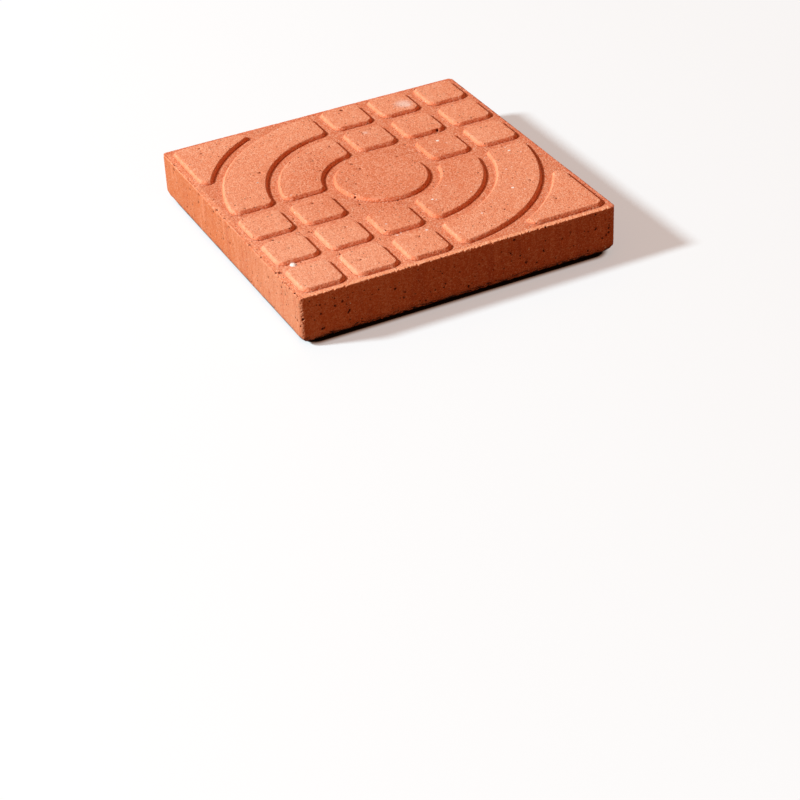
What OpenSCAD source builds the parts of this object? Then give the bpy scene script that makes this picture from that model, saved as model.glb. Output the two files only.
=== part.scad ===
// Cast concrete paving stone.
// The walking face carries raised pads: squares in two opposite quarters, quarter arcs and corner
// pads in the other two, and a disc in the middle. The origin is the middle of the bed face.

/* [Slab] */
// Length of each side of the stone
side = 300; // [260:1:400]
// Height from the bed face to the tops of the pads
thickness = 50; // [35:1:80]
// Radius of the upright corners
corner_r = 4; // [2:0.5:8]
// Radius of the edges round the bed face
bed_edge_r = 12; // [4:0.5:18]

/* [Pads] */
// Height of the pads above the ground between them
relief_h = 3.2; // [2:0.1:6]
// Bare ground between the outermost pads and the rim
border_w = 5.5; // [4:0.1:10]
// Ground between neighbouring pads, measured at their feet
groove_w = 7.4; // [5:0.1:10]
// Radius of the corners of a pad, measured at its foot
pad_corner_r = 9; // [6:0.5:12]
// How far the wall of a pad leans in on its way up
wall_run = 2.4; // [0.5:0.1:3]
// Width of the eased edge round the top of a pad
ease_w = 0.6; // [0.3:0.1:1.5]
// Height of the eased edge round the top of a pad
ease_h = 0.4; // [0.2:0.1:1.2]
// How far the outer arcs stay inside the line of the outer squares
arc_inset = 2; // [0:0.5:5]
// Width of the blunt tips of the corner pads
tip_w = 12; // [10:0.5:20]

/* [Hidden] */
$fn = 72;
squares_per_quarter = 3;
// How far the pads reach down into the slab
root = 1;
// How far a rounded corner stands out past the walls it joins
corner_swell = 0.15;
ground_z = thickness - relief_h;
// Half the width of the field that the pads cover
field = side/2 - border_w;
pad_w = (2*field + groove_w)/(2*squares_per_quarter) - groove_w;
pitch = pad_w + groove_w;
// Feet of the disc, the two rings of arcs and the corner pads, from the middle outwards
disc_r = field - arc_inset - 2*pitch;
inner_arc_r = disc_r + groove_w;
outer_arc_r = inner_arc_r + pitch;
corner_arc_r = outer_arc_r + pitch;
// How far the top of a pad is set in from its foot
lean = wall_run + ease_w;
// Where the legs of the corner pads end, measured from the middle lines
leg_end = sqrt(pow(corner_arc_r, 2) - pow(field - tip_w, 2));

// Edge of a pad from its root up to its top, leaning inwards from its foot at x
function edge(x, inwards) = [
    [x, -root],
    [x, 0],
    [x + inwards*wall_run, relief_h - ease_h],
    [x + inwards*lean, relief_h],
];

// Section through half of a round pad with its foot at radius r
module round_section(r) {
    polygon(concat([[0, relief_h], [0, -root]], edge(r, -1)));
}

// Section through a pad with its feet at a and b
module wide_section(a, b) {
    outer = edge(b, -1);
    polygon(concat(edge(a, 1), [for (i = [3:-1:0]) outer[i]]));
}

// Straight pad along Y with its feet at x = a and x = b, ending in plain upright faces
module bar(a, b, length) {
    rotate([90, 0, 0]) linear_extrude(length, center = true) wide_section(a, b);
}

module pad_corner() {
    rotate_extrude() round_section(pad_corner_r + corner_swell);
}

// Square pad of width w with rounded corners
module square_pad(w) {
    core = w/2 - pad_corner_r;
    for (turn = [0, 90]) rotate(turn) bar(-w/2, w/2, 2*core);
    for (x = [-core, core], y = [-core, core]) translate([x, y]) pad_corner();
}

// Three by three squares without the one nearest the middle, in the quarter where x and y are positive
module square_quarter() {
    for (i = [0:squares_per_quarter - 1], j = [0:squares_per_quarter - 1])
        if (i + j > 0)
            translate([groove_w/2 + pad_w/2 + i*pitch, groove_w/2 + pad_w/2 + j*pitch])
                square_pad(pad_w);
}

// Quarter ring with its inner foot at radius r, with straight ends along the middle grooves
module arc_pad(r) {
    end = groove_w/2;
    inset = end + pad_corner_r;
    r_in = r + pad_corner_r;
    r_out = r + pad_w - pad_corner_r;
    intersection() {
        rotate_extrude() wide_section(r, r + pad_w);
        translate([inset, inset, -root]) cube([side, side, root + relief_h]);
    }
    intersection() {
        rotate_extrude() translate([r_in, -root]) square([r_out - r_in, root + relief_h]);
        intersection_for (turn = [0, 90]) rotate(turn) bar(end, side, 2*side);
    }
    for (c = [r_in, r_out]) {
        along = sqrt(c*c - inset*inset);
        for (p = [[along, inset], [inset, along]]) translate(p) pad_corner();
    }
}

// Pad in the outer corner of an arc quarter, with its inner side hollowed to follow the arcs
module corner_pad() {
    leg = field - leg_end;
    difference() {
        translate([leg_end + leg/2, leg_end + leg/2]) square_pad(leg);
        rotate_extrude()
            polygon(concat(
                [[0, -2*root], [corner_arc_r, -2*root]],
                edge(corner_arc_r, 1),
                [[corner_arc_r + lean, relief_h + root], [0, relief_h + root]]
            ));
    }
}

module arc_quarter() {
    arc_pad(inner_arc_r);
    arc_pad(outer_arc_r);
    corner_pad();
}

// Section of the slab across one pair of sides, with the round edges along the bed face
module slab_section() {
    half = side/2 - bed_edge_r;
    translate([-side/2, bed_edge_r]) square([side, ground_z - bed_edge_r]);
    translate([-half, 0]) square([2*half, ground_z]);
    for (x = [-half, half]) translate([x, bed_edge_r]) circle(bed_edge_r);
}

// Plan of the slab with its rounded upright corners
module slab_plan() {
    half = side/2 - corner_r;
    square([side, 2*half], center = true);
    square([2*half, side], center = true);
    for (x = [-half, half], y = [-half, half]) translate([x, y]) circle(corner_r);
}

module slab() {
    intersection() {
        linear_extrude(ground_z) slab_plan();
        rotate([90, 0, 0]) linear_extrude(2*side, center = true) slab_section();
        rotate([90, 0, 90]) linear_extrude(2*side, center = true) slab_section();
    }
}

module relief() {
    rotate_extrude() round_section(disc_r);
    for (turn = [0, 180]) {
        rotate(turn) square_quarter();
        rotate(turn + 90) arc_quarter();
    }
}

module paving_stone() {
    color("salmon") {
        slab();
        translate([0, 0, ground_z]) relief();
    }
}

paving_stone();
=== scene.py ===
import math
import random
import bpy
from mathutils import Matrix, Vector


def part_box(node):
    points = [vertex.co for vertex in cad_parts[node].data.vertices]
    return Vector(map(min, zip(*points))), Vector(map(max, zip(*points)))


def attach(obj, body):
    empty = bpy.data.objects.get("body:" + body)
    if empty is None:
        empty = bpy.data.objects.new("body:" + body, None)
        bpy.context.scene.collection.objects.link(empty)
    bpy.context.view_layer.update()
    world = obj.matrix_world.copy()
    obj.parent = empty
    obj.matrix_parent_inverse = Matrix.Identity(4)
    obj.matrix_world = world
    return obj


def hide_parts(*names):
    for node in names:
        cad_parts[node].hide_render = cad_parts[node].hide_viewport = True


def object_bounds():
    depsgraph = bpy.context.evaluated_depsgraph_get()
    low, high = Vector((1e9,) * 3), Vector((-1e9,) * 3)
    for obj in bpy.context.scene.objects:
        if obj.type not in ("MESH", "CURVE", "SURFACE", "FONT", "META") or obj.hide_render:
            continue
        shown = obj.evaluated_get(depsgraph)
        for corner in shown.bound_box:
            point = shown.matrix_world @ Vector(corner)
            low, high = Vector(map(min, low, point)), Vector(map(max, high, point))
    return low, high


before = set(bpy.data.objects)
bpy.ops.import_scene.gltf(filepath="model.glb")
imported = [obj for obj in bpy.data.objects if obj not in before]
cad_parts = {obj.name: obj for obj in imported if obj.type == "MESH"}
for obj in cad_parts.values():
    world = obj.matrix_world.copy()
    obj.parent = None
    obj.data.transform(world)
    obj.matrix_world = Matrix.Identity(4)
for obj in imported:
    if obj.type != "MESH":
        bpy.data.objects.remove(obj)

from types import SimpleNamespace

import bmesh
import bpy
from mathutils import Matrix, Vector, kdtree, noise

cadBox = [list(corner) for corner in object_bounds()]
mm = 0.001
scene = bpy.context.scene
scene.view_settings.view_transform = "Standard"
print("frame loaded, box", cadBox)


# the casting

castingShape = {
    "node": "paving_stone",
    "weld": 0.002 * mm,
    "voxel": 0.52 * mm,                       # mesh size while the surface is worked
    "quickVoxel": 1.5 * mm,
    "triangles": 192000,                      # what the worked mesh is thinned to
    "relief": 3.2 * mm,                       # pads above the ground
    "bedEdge": 12 * mm,                       # round edge under the stone
    "bedFlat": (0.3 * mm, 3 * mm),            # heights between which the wear starts, the bed face has none
    "swell": (0.22 * mm, 48 * mm),            # height and width of the broad unevenness
    "crease": (0.3 * mm, 0.7 * mm),           # depth and height of the sharp line round a pad's foot
    "creaseLean": (0.01, 0.08),               # lean of the surface where it starts and where it is full
    "creaseInset": 3 * mm,                    # none nearer to the sides
    "streak": (0.16 * mm, 5 * mm, 40 * mm),   # height, width and length of flow marks on the sides
    "streakBand": (1.5 * mm, 1 * mm),         # no farther in than this, and this far below the rim
    "rimReach": 3.0 * mm,                     # how far the worn rim reaches from the upper edge
    "rimChip": (2.3 * mm, 2.2 * mm, 0.12),    # depth, width and where the noise starts to bite
    "rimSaw": (0.35 * mm, 1.6 * mm),          # height and width of the small teeth
    "calmRim": 0.15,                          # share of that wear on the +X and +Y rims
    "fin": (0.8 * mm, 1.5 * mm, 9 * mm),      # height, width and spacing of the mould fin on the -X rim
    "finBand": (0.6 * mm, 3 * mm),            # from this far below the rim, to this far from the corners
    "finStretch": (-0.35, 0.35),              # noise where a stretch of it starts and where it is full
    "finTop": (0.7, 0.6, 1.3 * mm),           # mean, variation and width of its ragged top
    "footRough": (0.6 * mm, 5 * mm),
    "footChips": ((1.6 * mm, 7 * mm, 0.25), (1.5 * mm, 3.0 * mm, 0.25)),
    "footFade": (0.6, 0.5),                   # shares of the round edge over which wear grows, down and out
    "footCorner": (1.2 * mm, 13 * mm),        # depth and reach of the blunt corners under the stone
    "cornerReach": 3.5 * mm,
    "cornerFade": 0.6,                        # share of that reach over which the wear grows
    "cornerChip": (0.65 * mm, 1.5 * mm, -0.05),
    "drift": Vector((41, 15.2, 3.1)) * mm,    # keeps the noise off its lattice
}

pitMarks = {
    "seed": 7,
    "depth": 1.0,                # share of the radius
    "bowl": 0.6,                 # below 1 the walls are steep and the middle is flat
    "wobble": (0.35, 1.4 * mm),  # share and width of the uneven outline
    "sizeBias": 2.2,             # above 1 most pits are small
    "paintReach": 2.2,           # radii round a pit that are looked through for its mask of painted shade
    "paintGain": 1.6,            # above 1 the painted shade reaches up the walls
    "topCount": 60,
    "topRadius": (0.5 * mm, 1.0 * mm),
    "topFacing": 0.9,            # the walking face looks up at least this much
    "sideCount": 210,
    "sideRadius": (0.5 * mm, 1.4 * mm),
    "sideDrop": 2 * mm,          # none nearer to the rim
    "rimCount": 16,              # nicks along the -X and -Y rims
    "rimRadius": (0.6 * mm, 1.2 * mm),
    "footCount": 90,             # nicks along the lower edges
    "footRadius": (0.8 * mm, 1.9 * mm),
    "footBand": (6 * mm, 1.2 * mm, 5 * mm),      # no farther in than this, and between these heights
    "skin": 1 * mm,              # this near to a side or the rim counts as on it
    "onTop": [                   # the plain ones on the walking face, as x, y and radius in mm
        (-121, 125, 1.1), (-90, 62, 1.4), (-13, 34, 1.3), (-10, 22, 1.2), (-15, 76, 0.9), (-40, 58, 0.9),
        (27, 136.5, 1.8), (85, 53, 1.6), (21, 36, 0.8), (-74, -14, 1.1), (-35, -18, 1.1), (-38, -22, 1.2),
        (-81, -123, 0.9), (-124, -74, 0.8), (-107, -5, 1.0), (-146, -102, 1.6), (-96, -53, 0.9),
        (-37, -32, 0.9), (76, -40, 0.9), (111, -116, 1.0), (56, -100, 0.8), (17, -84, 0.8), (63, -110, 0.9),
    ],
    "onSides": [                 # x, y, z and radius in mm
        (-107.6, -150, 21.2, 1.1), (-106.5, -150, 22.3, 1.1), (-105.6, -150, 23.2, 0.9),
        (-132.3, -150, 36.0, 1.0), (-132.0, -150, 27.3, 1.1), (-147.4, -149, 26.5, 1.3),
        (-131.5, -150, 12.5, 1.3), (-130.0, -150, 13.2, 1.0), (-119.0, -150, 38.0, 0.8),
        (129.6, -150, 29.6, 1.1), (130.8, -150, 30.6, 0.9), (129.8, -150, 44.2, 1.0),
        (105.0, -150, 34.3, 0.7), (-150, 122, 46.6, 1.1), (-150, 24, 46.6, 0.9),
        (-150, -47, 46.6, 1.0), (-150, -72, 46.6, 1.0), (-150, -101, 46.6, 1.1),
        (-149, -139, 46.8, 1.1), (-149, -144, 46.8, 0.9), (-146, -87, 3.0, 1.7),
        (-146, -98, 3.0, 1.9), (-146, -111, 3.0, 1.3), (-147, -122, 4.5, 1.3),
        (-146, 141, 3.0, 1.5), (-146, 127, 3.0, 1.7),
    ],
    "lumps": [(-131, -97, 47.2, 3.2, 1.0)],      # x, y, z, radius and height in mm of what sits on the face
    "lumpSlope": 0.6,            # share of its radius over which a lump rises
}


def placeMesh(bm, name):
    mesh = bpy.data.meshes.new(name)
    bm.to_mesh(mesh)
    bm.free()
    obj = bpy.data.objects.new(name, mesh)
    scene.collection.objects.link(obj)
    return obj


def bake(obj, kind, **settings):
    # puts one modifier on, keeps its result as the mesh
    modifier = obj.modifiers.new(kind.lower(), kind)
    for name, value in settings.items():
        setattr(modifier, name, value)
    bpy.context.view_layer.update()
    shaped = bpy.data.meshes.new_from_object(obj.evaluated_get(bpy.context.evaluated_depsgraph_get()))
    obj.modifiers.clear()
    old = obj.data
    obj.data = shaped
    shaped.name = obj.name
    bpy.data.meshes.remove(old)


def copyCasting(shape):
    bm = bmesh.new()
    bm.from_mesh(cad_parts[shape["node"]].data)
    bmesh.ops.remove_doubles(bm, verts=bm.verts, dist=shape["weld"])
    return placeMesh(bm, "pavingStone")


def ease(value, low, high):
    t = min(1.0, max(0.0, (value - low) / (high - low)))
    return t * t * (3 - 2 * t)


def bite(point, chip):
    # how deep a chip goes here, none where the noise is below its start
    depth, width, start = chip
    return depth * max(0.0, noise.noise(point / width) - start) / (1 - start)


def describe(point, half, ground, drift):
    # where a point lies against the sides and the upper edge
    gapX, gapY = half - abs(point.x), half - abs(point.y)
    if gapX < gapY:
        outward = Vector((math.copysign(1, point.x), 0, 0))
    else:
        outward = Vector((0, math.copysign(1, point.y), 0))
    return SimpleNamespace(
        point=point, noisy=point + drift, gapX=gapX, gapY=gapY, gap=min(gapX, gapY),
        rise=point.z - ground, outward=outward,
    )


def sideFlow(at, shape):
    inset, drop = shape["streakBand"]
    if at.gap > inset or at.rise > -drop:
        return 0.0
    height, width, length = shape["streak"]
    return height * noise.noise(Vector((at.noisy.x / width, at.noisy.y / width, at.noisy.z / length)))


def rimWear(at, shape):
    near = 1 - min(1.0, math.hypot(at.gap, at.rise) / shape["rimReach"])
    if near <= 0:
        return Vector((0, 0, 0))
    if at.outward.x + at.outward.y > 0:
        near *= shape["calmRim"]
    inward = (-at.outward - Vector((0, 0, 1))).normalized()
    tooth, pitch = shape["rimSaw"]
    chipped = inward * near * bite(at.noisy, shape["rimChip"])
    return chipped + at.outward * near * tooth * noise.noise(at.noisy / pitch)


def rimFin(at, shape):
    height, width, spacing = shape["fin"]
    drop, end = shape["finBand"]
    if at.outward.x >= 0 or at.gapX > width or at.rise < -drop or at.gapY < end:
        return 0.0
    row = Vector((3.3, at.noisy.y / spacing, 1.7))        # one row through the noise, off its lattice
    stretch = ease(noise.noise(row), *shape["finStretch"])
    mean, vary, tooth = shape["finTop"]
    return height * stretch * (1 - at.gapX / width) * (mean + vary * noise.noise(at.noisy / tooth))


def footWear(at, shape):
    edge = shape["bedEdge"]
    down, out = shape["footFade"]
    foot = ease(edge - at.point.z, 0, edge * down) * ease(edge - at.gap, 0, edge * out)
    if foot <= 0:
        return 0.0
    rough, width = shape["footRough"]
    height = rough * noise.noise(at.noisy / width)
    height -= sum(bite(at.noisy, chip) for chip in shape["footChips"])
    return height * foot


def cornerWear(at, shape):
    height = 0.0
    near = 1 - min(1.0, max(at.gapX, at.gapY) / shape["cornerReach"])
    if near > 0:
        height -= ease(near, 0, shape["cornerFade"]) * bite(at.noisy, shape["cornerChip"])
    depth, reach = shape["footCorner"]
    away = Vector((at.gapX, at.gapY, at.point.z)).length
    return height - depth * ease(reach - away, 0, reach)


def padCrease(at, normal, shape):
    depth, reach = shape["crease"]
    if at.gap < shape["creaseInset"] or abs(at.rise) > reach:
        return 0.0
    return -depth * ease(1 - normal.z, *shape["creaseLean"]) * (1 - abs(at.rise) / reach)


def workSurface(stone, shape):
    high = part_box(shape["node"])[1]
    ground = high.z - shape["relief"]
    swell, width = shape["swell"]
    mesh = stone.data
    normals = [v.vector.copy() for v in mesh.vertex_normals]
    for v, normal in zip(mesh.vertices, normals):
        at = describe(v.co.copy(), high.x, ground, shape["drift"])
        height = sideFlow(at, shape) + footWear(at, shape) + cornerWear(at, shape)
        height += padCrease(at, normal, shape)
        height += swell * noise.noise(at.noisy / width)
        move = rimWear(at, shape)
        move.z += rimFin(at, shape)
        raised = ease(at.point.z, *shape["bedFlat"])
        v.co = at.point + (normal * height + move) * raised
    mesh.update()
    print("surface worked,", len(mesh.vertices), "points")


def pointTree(mesh):
    tree = kdtree.KDTree(len(mesh.vertices))
    for v in mesh.vertices:
        tree.insert(v.co, v.index)
    tree.balance()
    return tree


def pitZone(point, normal, half, ground, marks):
    # the group of scattered pits that may start here
    skin = marks["skin"]
    gap = half - max(abs(point.x), abs(point.y))
    if gap < skin and abs(point.z - ground) < skin:
        return "rim" if min(point.x, point.y) < skin - half else None
    if normal.z > marks["topFacing"]:
        return "top"
    inset, lowest, highest = marks["footBand"]
    if gap < inset and lowest < point.z < highest:
        return "foot"
    if gap < skin and point.z < ground - marks["sideDrop"]:
        return "side"
    return None


def choosePits(stone, shape, marks):
    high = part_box(shape["node"])[1]
    half, ground = high.x, high.z - shape["relief"]
    draw = random.Random(marks["seed"])
    mesh = stone.data
    normals = [v.vector.copy() for v in mesh.vertex_normals]
    groups = {"top": [], "side": [], "rim": [], "foot": []}
    for v in mesh.vertices:
        zone = pitZone(v.co, normals[v.index], half, ground, marks)
        if zone:
            groups[zone].append(v.index)
    tree = pointTree(mesh)
    pits = []
    placed = [(x, y, high.z / mm, radius) for x, y, radius in marks["onTop"]] + marks["onSides"]
    for x, y, z, radius in placed:
        spot, index, _ = tree.find(Vector((x, y, z)) * mm)
        pits.append((spot.copy(), normals[index], radius * mm))
    for zone, members in groups.items():
        small, large = marks[zone + "Radius"]
        for index in draw.sample(members, marks[zone + "Count"]):
            radius = small + (large - small) * draw.random() ** marks["sizeBias"]
            pits.append((mesh.vertices[index].co.copy(), normals[index], radius))
    return pits, tree


def pitShare(spot, centre, radius, marks):
    # 1 in the middle of a pit, 0 at its lip
    share, width = marks["wobble"]
    wobble = 1 + share * noise.noise(spot / width)
    return max(0.0, 1 - ((spot - centre).length / (radius * wobble)) ** 2)


def punchPits(stone, pits, tree, marks):
    mesh = stone.data
    widest = 1 + marks["wobble"][0]
    for centre, normal, radius in pits:
        for spot, index, _ in tree.find_range(centre, radius * widest):
            depth = marks["depth"] * radius * pitShare(spot, centre, radius, marks) ** marks["bowl"]
            mesh.vertices[index].co -= normal * depth
    for x, y, z, radius, height in marks["lumps"]:
        slope = radius * marks["lumpSlope"] * mm
        for _, index, away in tree.find_range(Vector((x, y, z)) * mm, radius * mm):
            mesh.vertices[index].co.z += height * mm * ease(radius * mm - away, 0, slope)
    mesh.update()
    print("pits punched,", len(pits))


def paintPits(stone, pits, marks):
    # a mask that the concrete reads to paint shade into the pits
    mesh = stone.data
    tree = pointTree(mesh)
    mask = [0.0] * len(mesh.vertices)
    for centre, normal, radius in pits:
        for spot, index, _ in tree.find_range(centre, radius * marks["paintReach"]):
            flat = spot - normal * normal.dot(spot - centre)
            dark = marks["paintGain"] * pitShare(flat, centre, radius, marks)
            mask[index] = max(mask[index], min(1.0, dark))
    attribute = mesh.attributes.new("pitShade", "FLOAT", "POINT")
    attribute.data.foreach_set("value", mask)


def thin(stone, triangles):
    count = sum(len(p.vertices) - 2 for p in stone.data.polygons)
    share = min(1.0, triangles / count)
    bake(stone, "DECIMATE", decimate_type="COLLAPSE", ratio=share, use_collapse_triangulate=True)
    print("thinned from", count, "to", len(stone.data.polygons), "triangles")


def makeCasting(shape, marks):
    stone = copyCasting(shape)
    voxel = shape["voxel"]
    bake(stone, "REMESH", mode="VOXEL", voxel_size=voxel, adaptivity=0)
    workSurface(stone, shape)
    pits, tree = choosePits(stone, shape, marks)
    punchPits(stone, pits, tree, marks)
    thin(stone, shape["triangles"])
    paintPits(stone, pits, marks)
    stone.data.shade_smooth()
    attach(stone, "root")
    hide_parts(shape["node"])
    return stone


stone = makeCasting(castingShape, pitMarks)


# shader helpers

def emptyTree(block):
    block.use_nodes = True
    block.node_tree.nodes.clear()
    return block.node_tree


def setInput(tree, socket, value):
    if isinstance(value, bpy.types.NodeSocket):
        tree.links.new(value, socket)
    else:
        socket.default_value = value


def addNode(tree, kind, spot, inputs=None, **settings):
    node = tree.nodes.new(kind)
    node.location = spot
    for name, value in settings.items():
        setattr(node, name, value)
    for name, value in (inputs or {}).items():
        setInput(tree, node.inputs[name], value)
    return node


def calc(tree, operation, a, b, spot):
    return addNode(tree, "ShaderNodeMath", spot, {0: a, 1: b}, operation=operation).outputs[0]


def measure(tree, vector, spot, origin=(0.0, 0.0, 0.0)):
    inputs = {0: vector, 1: origin}
    return addNode(tree, "ShaderNodeVectorMath", spot, inputs, operation="DISTANCE").outputs["Value"]


def cloud(tree, vector, spot, scale, detail, roughness):
    inputs = {"Vector": vector, "Scale": scale, "Detail": detail, "Roughness": roughness}
    return addNode(tree, "ShaderNodeTexNoise", spot, inputs).outputs[0]


def mixColour(tree, factor, a, b, spot):
    inputs = {0: factor, 6: a, 7: b}
    return addNode(tree, "ShaderNodeMix", spot, inputs, data_type="RGBA", clamp_result=True).outputs[2]


def spread(tree, value, low, high, spot, toLow=0.0, toHigh=1.0, kind="SMOOTHSTEP"):
    inputs = {0: value, 1: low, 2: high, 3: toLow, 4: toHigh}
    return addNode(tree, "ShaderNodeMapRange", spot, inputs, interpolation_type=kind).outputs[0]


def grow(tree, value, band, spot, kind="SMOOTHSTEP"):
    # a band is where an effect starts, where it is full and how strong it is then
    start, full, strength = band
    return spread(tree, value, start, full, spot, 0.0, strength, kind)


def newGroup(name, inputs, outputs):
    tree = bpy.data.node_groups.new(name, "ShaderNodeTree")
    for label, kind, value in inputs:
        socket = tree.interface.new_socket(label, in_out="INPUT", socket_type=kind)
        if value is not None:
            socket.default_value = value
    for label in outputs:
        tree.interface.new_socket(label, in_out="OUTPUT", socket_type="NodeSocketFloat")
    return tree, addNode(tree, "NodeGroupInput", (-900, 0)), addNode(tree, "NodeGroupOutput", (600, 0))


def useGroup(tree, group, spot, inputs):
    node = addNode(tree, "ShaderNodeGroup", spot, node_tree=group)
    for name, value in inputs.items():
        setInput(tree, node.inputs[name], value)
    return node.outputs


def linear(rgb):
    # sRGB numbers from 0 to 255 to a linear colour
    parts = [value / 255 for value in rgb]
    return [p / 12.92 if p <= 0.04045 else ((p + 0.055) / 1.055) ** 2.4 for p in parts] + [1.0]


# scattered round specks, for air holes and chalk

def speckGroup():
    tree, given, out = newGroup("scatteredSpecks", [
        ("Vector", "NodeSocketVector", None),
        ("Density", "NodeSocketFloat", 200.0),
        ("Size", "NodeSocketFloat", 0.2),
        ("Share", "NodeSocketFloat", 0.5),
    ], ["Mask"])
    cells = addNode(tree, "ShaderNodeTexVoronoi", (-650, 0), {
        "Vector": given.outputs["Vector"], "Scale": given.outputs["Density"],
    })
    chance = addNode(tree, "ShaderNodeSeparateColor", (-450, -160), {0: cells.outputs["Color"]})
    kept = calc(tree, "LESS_THAN", chance.outputs[0], given.outputs["Share"], (-250, -120))
    vary = spread(tree, chance.outputs[1], 0.0, 1.0, (-250, -300), 0.45, 1.3, "LINEAR")     # small to large
    size = calc(tree, "MULTIPLY", given.outputs["Size"], vary, (-50, -260))
    core = calc(tree, "MULTIPLY", size, 0.55, (100, -320))      # full in the middle, then fading
    disc = spread(tree, cells.outputs["Distance"], size, core, (250, 0))
    mask = calc(tree, "MULTIPLY", disc, kept, (430, 0))
    tree.links.new(mask, out.inputs["Mask"])
    return tree


# sandy grain of a cast face

def grainGroup():
    tree, given, out = newGroup("sandGrain", [
        ("Vector", "NodeSocketVector", None),
        ("Grain", "NodeSocketFloat", 900.0),
    ], ["Tone", "Height"])
    vector, density = given.outputs["Vector"], given.outputs["Grain"]
    fine = cloud(tree, vector, (-650, 150), density, 2.0, 0.6)
    cells = addNode(tree, "ShaderNodeTexVoronoi", (-650, -200), {"Vector": vector, "Scale": density})
    chance = addNode(tree, "ShaderNodeSeparateColor", (-450, -200), {0: cells.outputs["Color"]})
    soft = spread(tree, fine, 0.25, 0.75, (-450, 150), kind="LINEAR")     # stretched to its full range
    tone = addNode(tree, "ShaderNodeMix", (-200, 0), {0: 0.5, 2: soft, 3: chance.outputs[0]})
    bump = calc(tree, "SUBTRACT", fine, cells.outputs["Distance"], (-200, -250))
    tree.links.new(tone.outputs[0], out.inputs["Tone"])
    tree.links.new(bump, out.inputs["Height"])
    return tree


# salmon red concrete

concreteLook = {
    "specular": 0.12,
    "ior": 1.45,
    "roughness": (0.84, 0.98),
    "roughBand": (0.3, 0.7),              # noise that goes with those two
    "broad": (20.0, 3.0, 0.6),            # scale, detail and roughness of the noise in patches
    "medium": (190.0, 4.0, 0.65),         # the same of the one in clots
    "body": (243, 148, 107),
    "pale": (250, 165, 127),
    "patchBand": (0.45, 0.75, 0.5),
    "frontBand": (175 * mm, 45 * mm, 0.68),       # paler towards the front corner
    "middle": (232, 131, 90),             # the disc and the arcs round it are a little deeper
    "middleBand": (125 * mm, 60 * mm, 1.0),
    "grooveShade": ((242, 147, 108), (224, 125, 85)),  # painted shade on the ground between the pads, near the front corner and far off
    "groundFade": 0.8 * mm,               # its colour gives way from this far up to this far below the tops
    "groundShare": 0.9,
    "field": 145.5 * mm,                  # where the grooves end and the border starts
    "fieldBlur": 1 * mm,
    "border": ((255, 166, 120), (242, 144, 102)),   # ground round the pads, along -Y and along -X; the -Y border is painted paler as light and the -X border deeper as shade
    "borderFade": (3 * mm, 6 * mm),       # from the -X rim
    "borderBehind": (226, 117, 78),       # the same along +X and +Y
    "behindFade": (6 * mm, 5 * mm),       # from those rims
    "wall": (246, 126, 78),               # painted shade on the walls of the pads towards -Y
    "wallBand": (-0.35, -0.6, 0.4),
    "crease": (150, 58, 32),              # painted shade: a dark line round the feet of the pads
    "creaseShadeBand": (0.9 * mm, 0.2 * mm, 0.7),      # heights above the ground
    "creaseShadeFacing": (0.97, 0.85),
    "faceToneAndShadeX": ((221, 134, 95), (214, 116, 70)),    # sides, near the front corner and far off, painted deeper than the top as shade
    "faceToneAndShadeY": ((233, 133, 84), (216, 117, 73)),
    "farBand": (30 * mm, 190 * mm, 1.0),  # what is near the front corner and what is far off
    "faceTop": (0.3 * mm, 1.5 * mm),      # the sides' colour starts this far below the rim
    "sideFacing": (0.75, 0.35),           # from faces that look up to faces that look sideways
    "xFacing": (0.3, 0.8),                # from sides that look along Y to sides that look along X
    "flow": (150.0, 3.0, 0.55),           # noise of the flow marks on the sides
    "flowStretch": (1.0, 1.0, 0.14),
    "smearBand": (0.52, 0.72, 0.5),
    "rubBand": (0.46, 0.28, 0.35),
    "grain": 880.0,                       # grains to a metre
    "grainX": 0.45,                       # share of the grain on sides that look along X
    "darkGrain": (196, 92, 58),
    "darkBand": (0.5, 0.05, 0.75),
    "clotBand": (0.5, 0.75, 0.2),
    "paleGrain": (255, 204, 172),
    "paleBand": (0.5, 0.95, 0.75),
    "under": (36, 12, 7),                 # painted shade on the round edge below, where it turns down
    "underShadeBand": (-0.38, -0.62, 0.95),
    "underShadeLit": (-0.45, -0.1, 0.3),       # the painted shade is weaker where it looks to -X, where the light reaches: from, to and share
    "bump": 0.4 * mm,
    "bumpShares": {"sand": 0.6, "clots": 0.6, "holes": 0.9},
}

chalkLook = {
    "colour": (255, 240, 228),
    "span": (-60 * mm, 140 * mm),         # more of it towards +X, between these places
    "share": (0.08, 0.34),
    "fleck": {"Density": 95.0, "Size": 0.085},
    "dust": {"Density": 330.0, "Size": 0.18},
    "dustShare": 0.45,
    "broken": (0.25, 0.5, 0.45),          # noise that breaks it up: from, to and what is left at least
    "markCore": 0.6,                      # share of a mark's radius that is full
    "marks": [                            # on the walking face: x, y, radius in mm and strength
        (-131, -97, 3.6, 1.0), (-36, -80, 1.3, 0.6), (-11, -107, 1.6, 0.7), (-34, -97, 1.5, 0.5),
        (74, 34, 1.9, 0.9), (79, 26, 1.0, 0.6), (-3, 45, 1.7, 0.8), (120, -17, 1.6, 0.9),
        (120, -10, 1.1, 0.7), (88, -80, 1.6, 0.9), (18, -62, 1.5, 0.9), (21, -64, 1.0, 0.6),
        (40, -46, 0.9, 0.6), (100, -47, 1.2, 0.6), (43, -106, 1.3, 0.6), (-100, 46, 1.2, 0.7),
    ],
    "smearCore": 0.0,
    "smears": [(25, 83, 4.0, 0.35), (82, 118, 12.0, 0.5), (84, 114, 6.0, 0.6)],
}

holeLook = {
    # painted shade inside the air holes and the punched pits
    "colour": (88, 30, 15),
    "pins": {"Density": 280.0, "Size": 0.20, "Share": 0.42},
    "holes": {"Density": 110.0, "Size": 0.09, "Share": 0.35},
    "share": 0.7,
    "pitShare": 0.92,                     # share of the painted shade for the pits that are punched in the mesh
}


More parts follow.
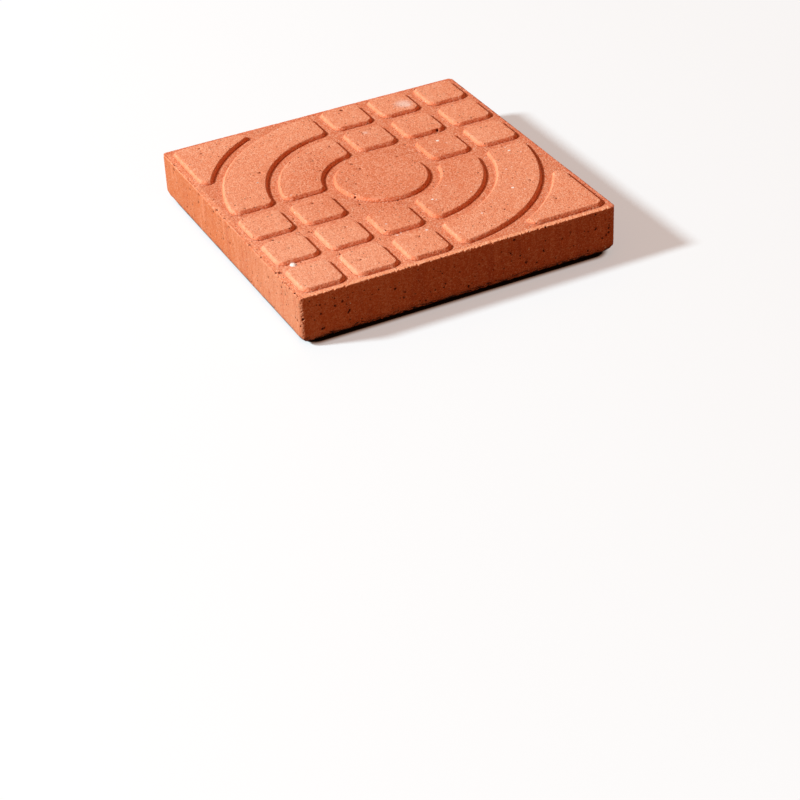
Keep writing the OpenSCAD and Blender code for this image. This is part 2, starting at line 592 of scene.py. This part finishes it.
def readSurface(tree, look):
    # what the parts of the concrete share: place, facing and noise
    spot = addNode(tree, "ShaderNodeTexCoord", (-1900, 0)).outputs["Object"]
    place = addNode(tree, "ShaderNodeSeparateXYZ", (-1700, -500), {0: spot}).outputs
    normal = addNode(tree, "ShaderNodeNewGeometry", (-1900, -700)).outputs["Normal"]
    facing = addNode(tree, "ShaderNodeSeparateXYZ", (-1700, -700), {0: normal}).outputs
    plan = addNode(tree, "ShaderNodeCombineXYZ", (-1500, 750), {0: place[0], 1: place[1]}).outputs[0]
    upright = calc(tree, "ABSOLUTE", facing[2], 0.0, (-1500, -700))
    across = calc(tree, "ABSOLUTE", facing[0], 0.0, (-1500, -800))
    front = measure(tree, plan, (-1300, 900), (cadBox[0][0], cadBox[0][1], 0.0))
    return SimpleNamespace(
        spot=spot, place=place, facing=facing, plan=plan, front=front,
        side=spread(tree, upright, *look["sideFacing"], (-1300, -700)),
        alongX=spread(tree, across, *look["xFacing"], (-1300, -800)),
        farther=grow(tree, front, look["farBand"], (-1100, 1050)),
        medium=cloud(tree, spot, (-1300, 250), *look["medium"]),
        half=cadBox[1][0], high=cadBox[1][2], ground=cadBox[1][2] - castingShape["relief"],
    )


def nearToFar(tree, at, pair, spot):
    # a colour for near the front corner that turns into one for far from it
    return mixColour(tree, at.farther, *[linear(rgb) for rgb in pair], spot)


def padTone(tree, at, look):
    # deeper in the middle, paler in patches and towards the front corner
    middle = grow(tree, measure(tree, at.plan, (-1300, 750)), look["middleBand"], (-1100, 750))
    base = mixColour(tree, middle, linear(look["body"]), linear(look["middle"]), (-900, 700))
    forward = grow(tree, at.front, look["frontBand"], (-1100, 900))
    broad = cloud(tree, at.spot, (-1300, 500), *look["broad"])
    patch = grow(tree, broad, look["patchBand"], (-1100, 500))
    paler = calc(tree, "MAXIMUM", forward, patch, (-900, 500))
    return mixColour(tree, paler, base, linear(look["pale"]), (-700, 650))


def borderTone(tree, at, look):
    leftRim = [fade - at.half for fade in look["borderFade"]]
    left = spread(tree, at.place[0], *leftRim, (-1100, -500), 1.0, 0.0)
    border = mixColour(tree, left, *[linear(rgb) for rgb in look["border"]], (-900, 350))
    farthest = calc(tree, "MAXIMUM", at.place[0], at.place[1], (-1300, -550))
    farRims = [at.half - fade for fade in look["behindFade"]]
    behind = spread(tree, farthest, *farRims, (-1100, -550))
    return mixColour(tree, behind, border, linear(look["borderBehind"]), (-800, 350))


def groundToneAndShade(tree, at, look, base):
    # the ground in the grooves and along the rim, and the walls that rise from it, with painted shade
    # between the pads, on the walls towards -Y and round the pads' feet, and painted light and shade on the
    # border
    spans = [calc(tree, "ABSOLUTE", at.place[axis], 0.0, (-1500, -400 - 100 * axis)) for axis in (0, 1)]
    edge = calc(tree, "MAXIMUM", *spans, (-1300, -450))
    field, blur, fade = look["field"], look["fieldBlur"], look["groundFade"]
    ring = spread(tree, edge, field - blur, field + blur, (-1100, -450))
    inside = calc(tree, "SUBTRACT", 1.0, ring, (-900, -450))
    low = grow(tree, at.place[2], (at.high - fade, at.ground + fade, look["groundShare"]), (-1100, -300))
    # painted shade: the ground between the pads is deeper than the tops
    grooveShade = nearToFar(tree, at, look["grooveShade"], (-900, 450))
    tint = mixColour(tree, ring, grooveShade, borderTone(tree, at, look), (-700, 450))
    base = mixColour(tree, low, base, tint, (-500, 600))
    # painted shade on the pad walls that face -Y, away from the light
    turnedShade = grow(tree, at.facing[1], look["wallBand"], (-1100, 300))
    turnedShade = calc(tree, "MULTIPLY", turnedShade, inside, (-900, 300))
    base = mixColour(tree, turnedShade, base, linear(look["wall"]), (-450, 600))
    # painted shade in the crease, on the walls just above the ground round the pads' feet
    start, full, strength = look["creaseShadeBand"]
    foot = grow(tree, at.place[2], (at.ground + start, at.ground + full, strength), (-1100, -350))
    leaning = spread(tree, at.facing[2], *look["creaseShadeFacing"], (-1100, -400))
    foot = calc(tree, "MULTIPLY", calc(tree, "MULTIPLY", foot, leaning, (-900, -350)), inside, (-700, -350))
    return mixColour(tree, foot, base, linear(look["crease"]), (-400, 600))


def sideToneAndShade(tree, at, look, base):
    # the sides, painted deeper than the top as shade, with flow marks down them
    faceToneAndShadeX = nearToFar(tree, at, look["faceToneAndShadeX"], (-700, 250))
    faceToneAndShadeY = nearToFar(tree, at, look["faceToneAndShadeY"], (-700, 50))
    face = mixColour(tree, at.alongX, faceToneAndShadeY, faceToneAndShadeX, (-500, 200))
    rim = [at.ground - drop for drop in look["faceTop"]]
    below = spread(tree, at.place[2], *rim, (-1100, -600))
    base = mixColour(tree, below, base, face, (-300, 550))
    drawn = addNode(tree, "ShaderNodeVectorMath", (-1500, 50), {
        0: at.spot, 1: look["flowStretch"],
    }, operation="MULTIPLY").outputs[0]
    flow = cloud(tree, drawn, (-1300, 0), *look["flow"])
    smear = calc(tree, "MULTIPLY", grow(tree, flow, look["smearBand"], (-1100, 50)), at.side, (-900, 50))
    rub = calc(tree, "MULTIPLY", grow(tree, flow, look["rubBand"], (-1100, -100)), at.side, (-900, -100))
    base = mixColour(tree, smear, base, linear(look["darkGrain"]), (-100, 500))
    return mixColour(tree, rub, base, linear(look["pale"]), (0, 450))


def sandTone(tree, at, look, base, sand, gritty):
    dim = grow(tree, sand["Tone"], look["darkBand"], (-1100, -150), "LINEAR")
    lit = grow(tree, sand["Tone"], look["paleBand"], (-1100, -200), "LINEAR")
    clot = grow(tree, at.medium, look["clotBand"], (-1100, 250))
    dim = calc(tree, "MULTIPLY", calc(tree, "MAXIMUM", dim, clot, (-600, 0)), gritty, (-400, 0))
    lit = calc(tree, "MULTIPLY", lit, gritty, (-400, -150))
    base = mixColour(tree, dim, base, linear(look["darkGrain"]), (150, 400))
    return mixColour(tree, lit, base, linear(look["paleGrain"]), (300, 350))


def chalkMask(tree, at, look, specks):
    more = spread(tree, at.place[0], *look["span"], (-1300, -1000), *look["share"], "LINEAR")
    scatter = {"Vector": at.spot, "Share": more}
    fleck = useGroup(tree, specks, (-1100, -850), {**scatter, **look["fleck"]})
    dust = useGroup(tree, specks, (-1100, -1050), {**scatter, **look["dust"]})
    faint = calc(tree, "MULTIPLY", dust[0], look["dustShare"], (-900, -1050))
    white = calc(tree, "MAXIMUM", fleck[0], faint, (-750, -900))
    for kind in ("mark", "smear"):
        core = look[kind + "Core"]
        for x, y, radius, strength in look[kind + "s"]:
            reach = measure(tree, at.plan, (-1000, -1250), (x * mm, y * mm, 0.0))
            blot = grow(tree, reach, (radius * mm, radius * core * mm, strength), (-800, -1250))
            white = calc(tree, "MAXIMUM", white, blot, (-600, -1100))
    start, full, least = look["broken"]
    broken = spread(tree, at.medium, start, full, (-600, -800), least, 1.0)
    return calc(tree, "MULTIPLY", white, broken, (-400, -950))


def holeMask(tree, at, look, specks):
    # painted shade in the air holes: painted specks, which also sink the bump, and the punched pits
    pins = useGroup(tree, specks, (-1100, -1600), {"Vector": at.spot, **look["pins"]})
    holes = useGroup(tree, specks, (-1100, -1800), {"Vector": at.spot, **look["holes"]})
    shade = addNode(tree, "ShaderNodeAttribute", (-1100, -2000), attribute_name="pitShade").outputs["Fac"]
    painted = calc(tree, "MAXIMUM", pins[0], holes[0], (-900, -1650))
    painted = calc(tree, "MULTIPLY", painted, look["share"], (-750, -1650))
    punched = calc(tree, "MULTIPLY", shade, look["pitShare"], (-900, -2000))
    return calc(tree, "MAXIMUM", painted, punched, (-600, -1750))


def underShadeMask(tree, at, look):
    # painted shade where the round edge under the stone turns down
    turnedShade = grow(tree, at.facing[2], look["underShadeBand"], (500, 0))
    start, full, least = look["underShadeLit"]
    shaded = spread(tree, at.facing[0], start, full, (500, -100), least, 1.0)
    return calc(tree, "MULTIPLY", turnedShade, shaded, (700, 0))


def surfaceBump(tree, at, look, sand, gritty, holes):
    shares = look["bumpShares"]
    grains = calc(tree, "MULTIPLY", sand["Height"], shares["sand"], (-400, -1400))
    lift = calc(tree, "MULTIPLY", grains, gritty, (-300, -1400))
    clots = calc(tree, "MULTIPLY", at.medium, shares["clots"], (-300, -1500))
    lift = calc(tree, "ADD", lift, clots, (-100, -1400))
    sunk = calc(tree, "MULTIPLY", holes, shares["holes"], (-100, -1600))
    lift = calc(tree, "SUBTRACT", lift, sunk, (100, -1400))
    inputs = {"Strength": 1.0, "Distance": look["bump"], "Height": lift}
    return addNode(tree, "ShaderNodeBump", (1200, -400), inputs).outputs[0]


def concrete(look, chalk, air):
    material = bpy.data.materials.new("redConcrete")
    tree = emptyTree(material)
    specks = speckGroup()
    at = readSurface(tree, look)
    sand = useGroup(tree, grainGroup(), (-1300, -200), {"Vector": at.spot, "Grain": look["grain"]})
    gritty = spread(tree, at.alongX, 0.0, 1.0, (-1100, -800), 1.0, look["grainX"], "LINEAR")
    holes = holeMask(tree, at, air, specks)
    base = padTone(tree, at, look)
    base = groundToneAndShade(tree, at, look, base)
    base = sideToneAndShade(tree, at, look, base)
    base = sandTone(tree, at, look, base, sand, gritty)
    base = mixColour(tree, chalkMask(tree, at, chalk, specks), base, linear(chalk["colour"]), (500, 300))
    base = mixColour(tree, holes, base, linear(air["colour"]), (700, 250))
    base = mixColour(tree, underShadeMask(tree, at, look), base, linear(look["under"]), (900, 250))
    shader = addNode(tree, "ShaderNodeBsdfPrincipled", (1600, 0), {
        "Base Color": base,
        "Roughness": spread(tree, at.medium, *look["roughBand"], (900, -200), *look["roughness"]),
        "IOR": look["ior"],
        "Specular IOR Level": look["specular"],
        "Normal": surfaceBump(tree, at, look, sand, gritty, holes),
    })
    out = addNode(tree, "ShaderNodeOutputMaterial", (1900, 0))
    tree.links.new(shader.outputs[0], out.inputs[0])
    return material


stone.data.materials.clear()
stone.data.materials.append(concrete(concreteLook, chalkLook, holeLook))
print("concrete set")


# floor, light and camera

stageLook = {
    "floorSize": 24.0,
    "floor": (0.95, 0.95, 0.95, 1.0),
    "white": (1.0, 1.0, 1.0, 1.0),
    "floorGlow": 0.42,                       # share of plain white in the floor, keeps its shadow pale
    "backdrop": (0.45, 1.6),                 # the share grows to all of it between these distances
    "contactShadow": (-3.4 * mm, -2.0 * mm),       # where the painted contact shadow under the stone gives way to the floor
    "contactShift": 2.3 * mm,                # the light from -X reaches farther under
    "contactRound": 16 * mm,
    "contactBlur": 5 * mm,                   # the plain white comes in this much farther out
    # painted contact shadow: a near black floor under the stone's round edge
    "gap": (0.03, 0.02, 0.015, 1.0),
    "bounce": (0.14, 0.06, 0.03, 1.0),       # what the floor throws back on the stone
    "world": (1.0, 0.43, 0.20, 1.0),         # warm fill against a cool key, neutral where both reach
    "worldStrength": 0.34,
}

keyLight = {
    "way": (-1.4, 0.42, 1.0),
    "distance": 9.0,
    "size": 1.24,
    "power": 1305.0,
    "tint": (0.757, 0.93, 1.0),
}

cameraView = {
    "azimuth": -25.49,
    "elevation": 33.98,
    "roll": -2.87,
    "aim": (-32.3 * mm, -82.36 * mm, -130.93 * mm),     # a point on the line of sight
    "distance": 1888.3 * mm,
    "lens": 94.468,
    "sensor": 36.0,
}


def seenRays(tree, x, y):
    rays = addNode(tree, "ShaderNodeLightPath", (x, y)).outputs
    seen = calc(tree, "MAXIMUM", rays["Is Camera Ray"], rays["Is Glossy Ray"], (x + 200, y))
    return calc(tree, "MAXIMUM", seen, rays["Is Transmission Ray"], (x + 400, y))


def contactReach(tree, spot, look):
    # how far a point of the floor lies past the core of the painted contact shadow, which has round corners
    place = addNode(tree, "ShaderNodeSeparateXYZ", (-1000, -200), {0: spot}).outputs
    core = cadBox[1][0] - look["contactRound"]
    past = []
    for axis, start in ((0, core - look["contactShift"]), (1, core)):
        span = calc(tree, "ABSOLUTE", place[axis], 0.0, (-900, -150))
        beyond = calc(tree, "SUBTRACT", span, start, (-800, -150))
        past.append(calc(tree, "MAXIMUM", beyond, 0.0, (-700, -150)))
    corner = addNode(tree, "ShaderNodeCombineXYZ", (-600, -200), {0: past[0], 1: past[1]}).outputs[0]
    return measure(tree, corner, (-500, -200))


def paleFloor(look):
    material = bpy.data.materials.new("paleFloor")
    tree = emptyTree(material)
    spot = addNode(tree, "ShaderNodeTexCoord", (-1200, -200)).outputs["Object"]
    reach = contactReach(tree, spot, look)
    near, far = [look["contactRound"] + gap for gap in look["contactShadow"]]
    clear = spread(tree, reach, near, far, (-400, -200))
    away = measure(tree, spot, (-600, -400))
    plain = spread(tree, away, *look["backdrop"], (-400, -400), look["floorGlow"], 1.0)
    outside = spread(tree, reach, near, far + look["contactBlur"], (-400, -100))
    share = calc(tree, "MULTIPLY", outside, plain, (-200, -100))
    # painted contact shadow under the stone
    tone = mixColour(tree, clear, look["gap"], look["floor"], (-400, 150))
    pale = addNode(tree, "ShaderNodeBsdfDiffuse", (-200, 150), {"Color": tone}).outputs[0]
    glow = addNode(tree, "ShaderNodeEmission", (-200, 50), {"Color": look["white"], "Strength": 1.0})
    seen = addNode(tree, "ShaderNodeMixShader", (0, 100), {0: share, 1: pale, 2: glow.outputs[0]}).outputs[0]
    thrown = addNode(tree, "ShaderNodeBsdfDiffuse", (0, -100), {"Color": look["bounce"]}).outputs[0]
    rays = seenRays(tree, -500, 300)
    mixed = addNode(tree, "ShaderNodeMixShader", (300, 0), {0: rays, 1: thrown, 2: seen})
    out = addNode(tree, "ShaderNodeOutputMaterial", (500, 0))
    tree.links.new(mixed.outputs[0], out.inputs[0])
    return material


def makeFloor(look):
    bm = bmesh.new()
    bmesh.ops.create_grid(bm, x_segments=1, y_segments=1, size=look["floorSize"] / 2)
    floor = placeMesh(bm, "floor")
    floor.data.materials.append(paleFloor(look))


def makeWorld(look):
    world = bpy.data.worlds.new("studio")
    tree = emptyTree(world)
    shades = []
    for colour, strength, y in ((look["world"], look["worldStrength"], -100), (look["white"], 1.0, 100)):
        inputs = {"Color": colour, "Strength": strength}
        shades.append(addNode(tree, "ShaderNodeBackground", (0, y), inputs).outputs[0])
    dim, pale = shades
    rays = seenRays(tree, -500, 300)
    mixed = addNode(tree, "ShaderNodeMixShader", (300, 0), {0: rays, 1: dim, 2: pale})
    out = addNode(tree, "ShaderNodeOutputWorld", (500, 0))
    tree.links.new(mixed.outputs[0], out.inputs[0])
    scene.world = world


def makeKey(settings):
    lamp = bpy.data.lights.new("key", "AREA")
    lamp.shape = "DISK"
    lamp.size = settings["size"]
    lamp.energy = settings["power"]
    lamp.color = settings["tint"]
    light = bpy.data.objects.new("key", lamp)
    scene.collection.objects.link(light)
    way = Vector(settings["way"]).normalized()
    light.location = way * settings["distance"]
    light.rotation_mode = "QUATERNION"
    light.rotation_quaternion = (-way).to_track_quat("-Z", "Y")


def makeCamera(settings):
    data = bpy.data.cameras.new("camera")
    data.lens = settings["lens"]
    data.sensor_width = settings["sensor"]
    camera = bpy.data.objects.new("camera", data)
    scene.collection.objects.link(camera)
    turn, tilt = math.radians(settings["azimuth"]), math.radians(settings["elevation"])
    back = Vector((math.sin(turn) * math.cos(tilt), -math.cos(turn) * math.cos(tilt), math.sin(tilt)))
    right = Vector((math.cos(turn), math.sin(turn), 0))
    axes = Matrix((right, back.cross(right), back)).transposed()
    rolled = axes @ Matrix.Rotation(math.radians(settings["roll"]), 3, "Z")
    eye = Vector(settings["aim"]) + back * settings["distance"]
    camera.matrix_world = Matrix.Translation(eye) @ rolled.to_4x4()
    scene.camera = camera


makeFloor(stageLook)
makeWorld(stageLook)
makeKey(keyLight)
makeCamera(cameraView)
print("stage, light and camera set")
